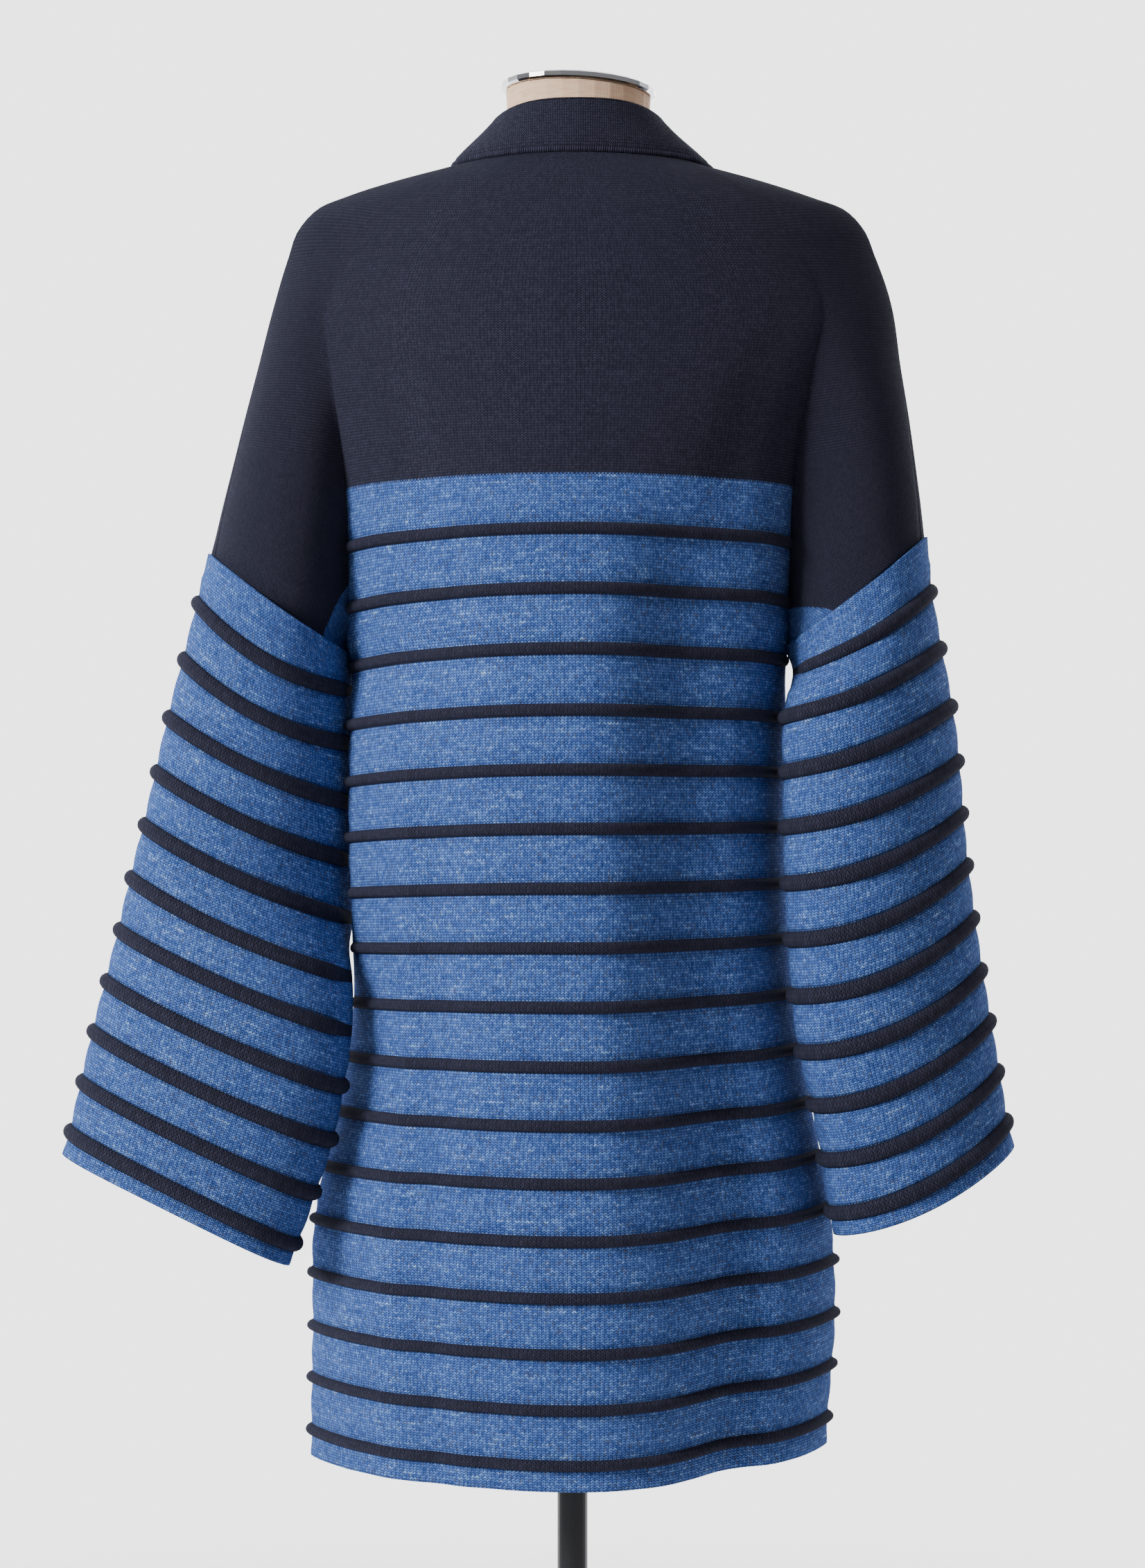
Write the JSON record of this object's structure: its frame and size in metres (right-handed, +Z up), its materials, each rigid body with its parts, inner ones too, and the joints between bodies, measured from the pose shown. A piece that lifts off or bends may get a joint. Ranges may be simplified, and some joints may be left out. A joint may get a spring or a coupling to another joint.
{
  "type": "cardigan on dress form",
  "caption": "Long open-front knitted cardigan with dropped shoulders, bell sleeves and raised horizontal welts, on a limbless dress form with a pole and a round base.",
  "frame": {"origin": "on the floor, under the middle of the pole and of the round base", "axes": "+Z up, -Y towards the open front, +X towards the wearer's left sleeve"},
  "size_m": [0.642, 0.34, 1.5114],
  "materials": {
    "navy_knit": "matte wool knit",
    "blue_knit": "matte marl knit",
    "linen": "plain linen weave",
    "chrome": "polished",
    "dark_metal": "satin black"
  },
  "bodies": {
    "root": {"back_panel": "blue_knit", "left_front": "blue_knit", "right_front": "blue_knit", "left_sleeve": "blue_knit", "right_sleeve": "blue_knit", "neck_band": "navy_knit", "form_torso": "linen", "neck_plate": "chrome", "pole": "dark_metal", "pole_collar": "dark_metal", "base": "dark_metal"}
  },
  "joints": []
}
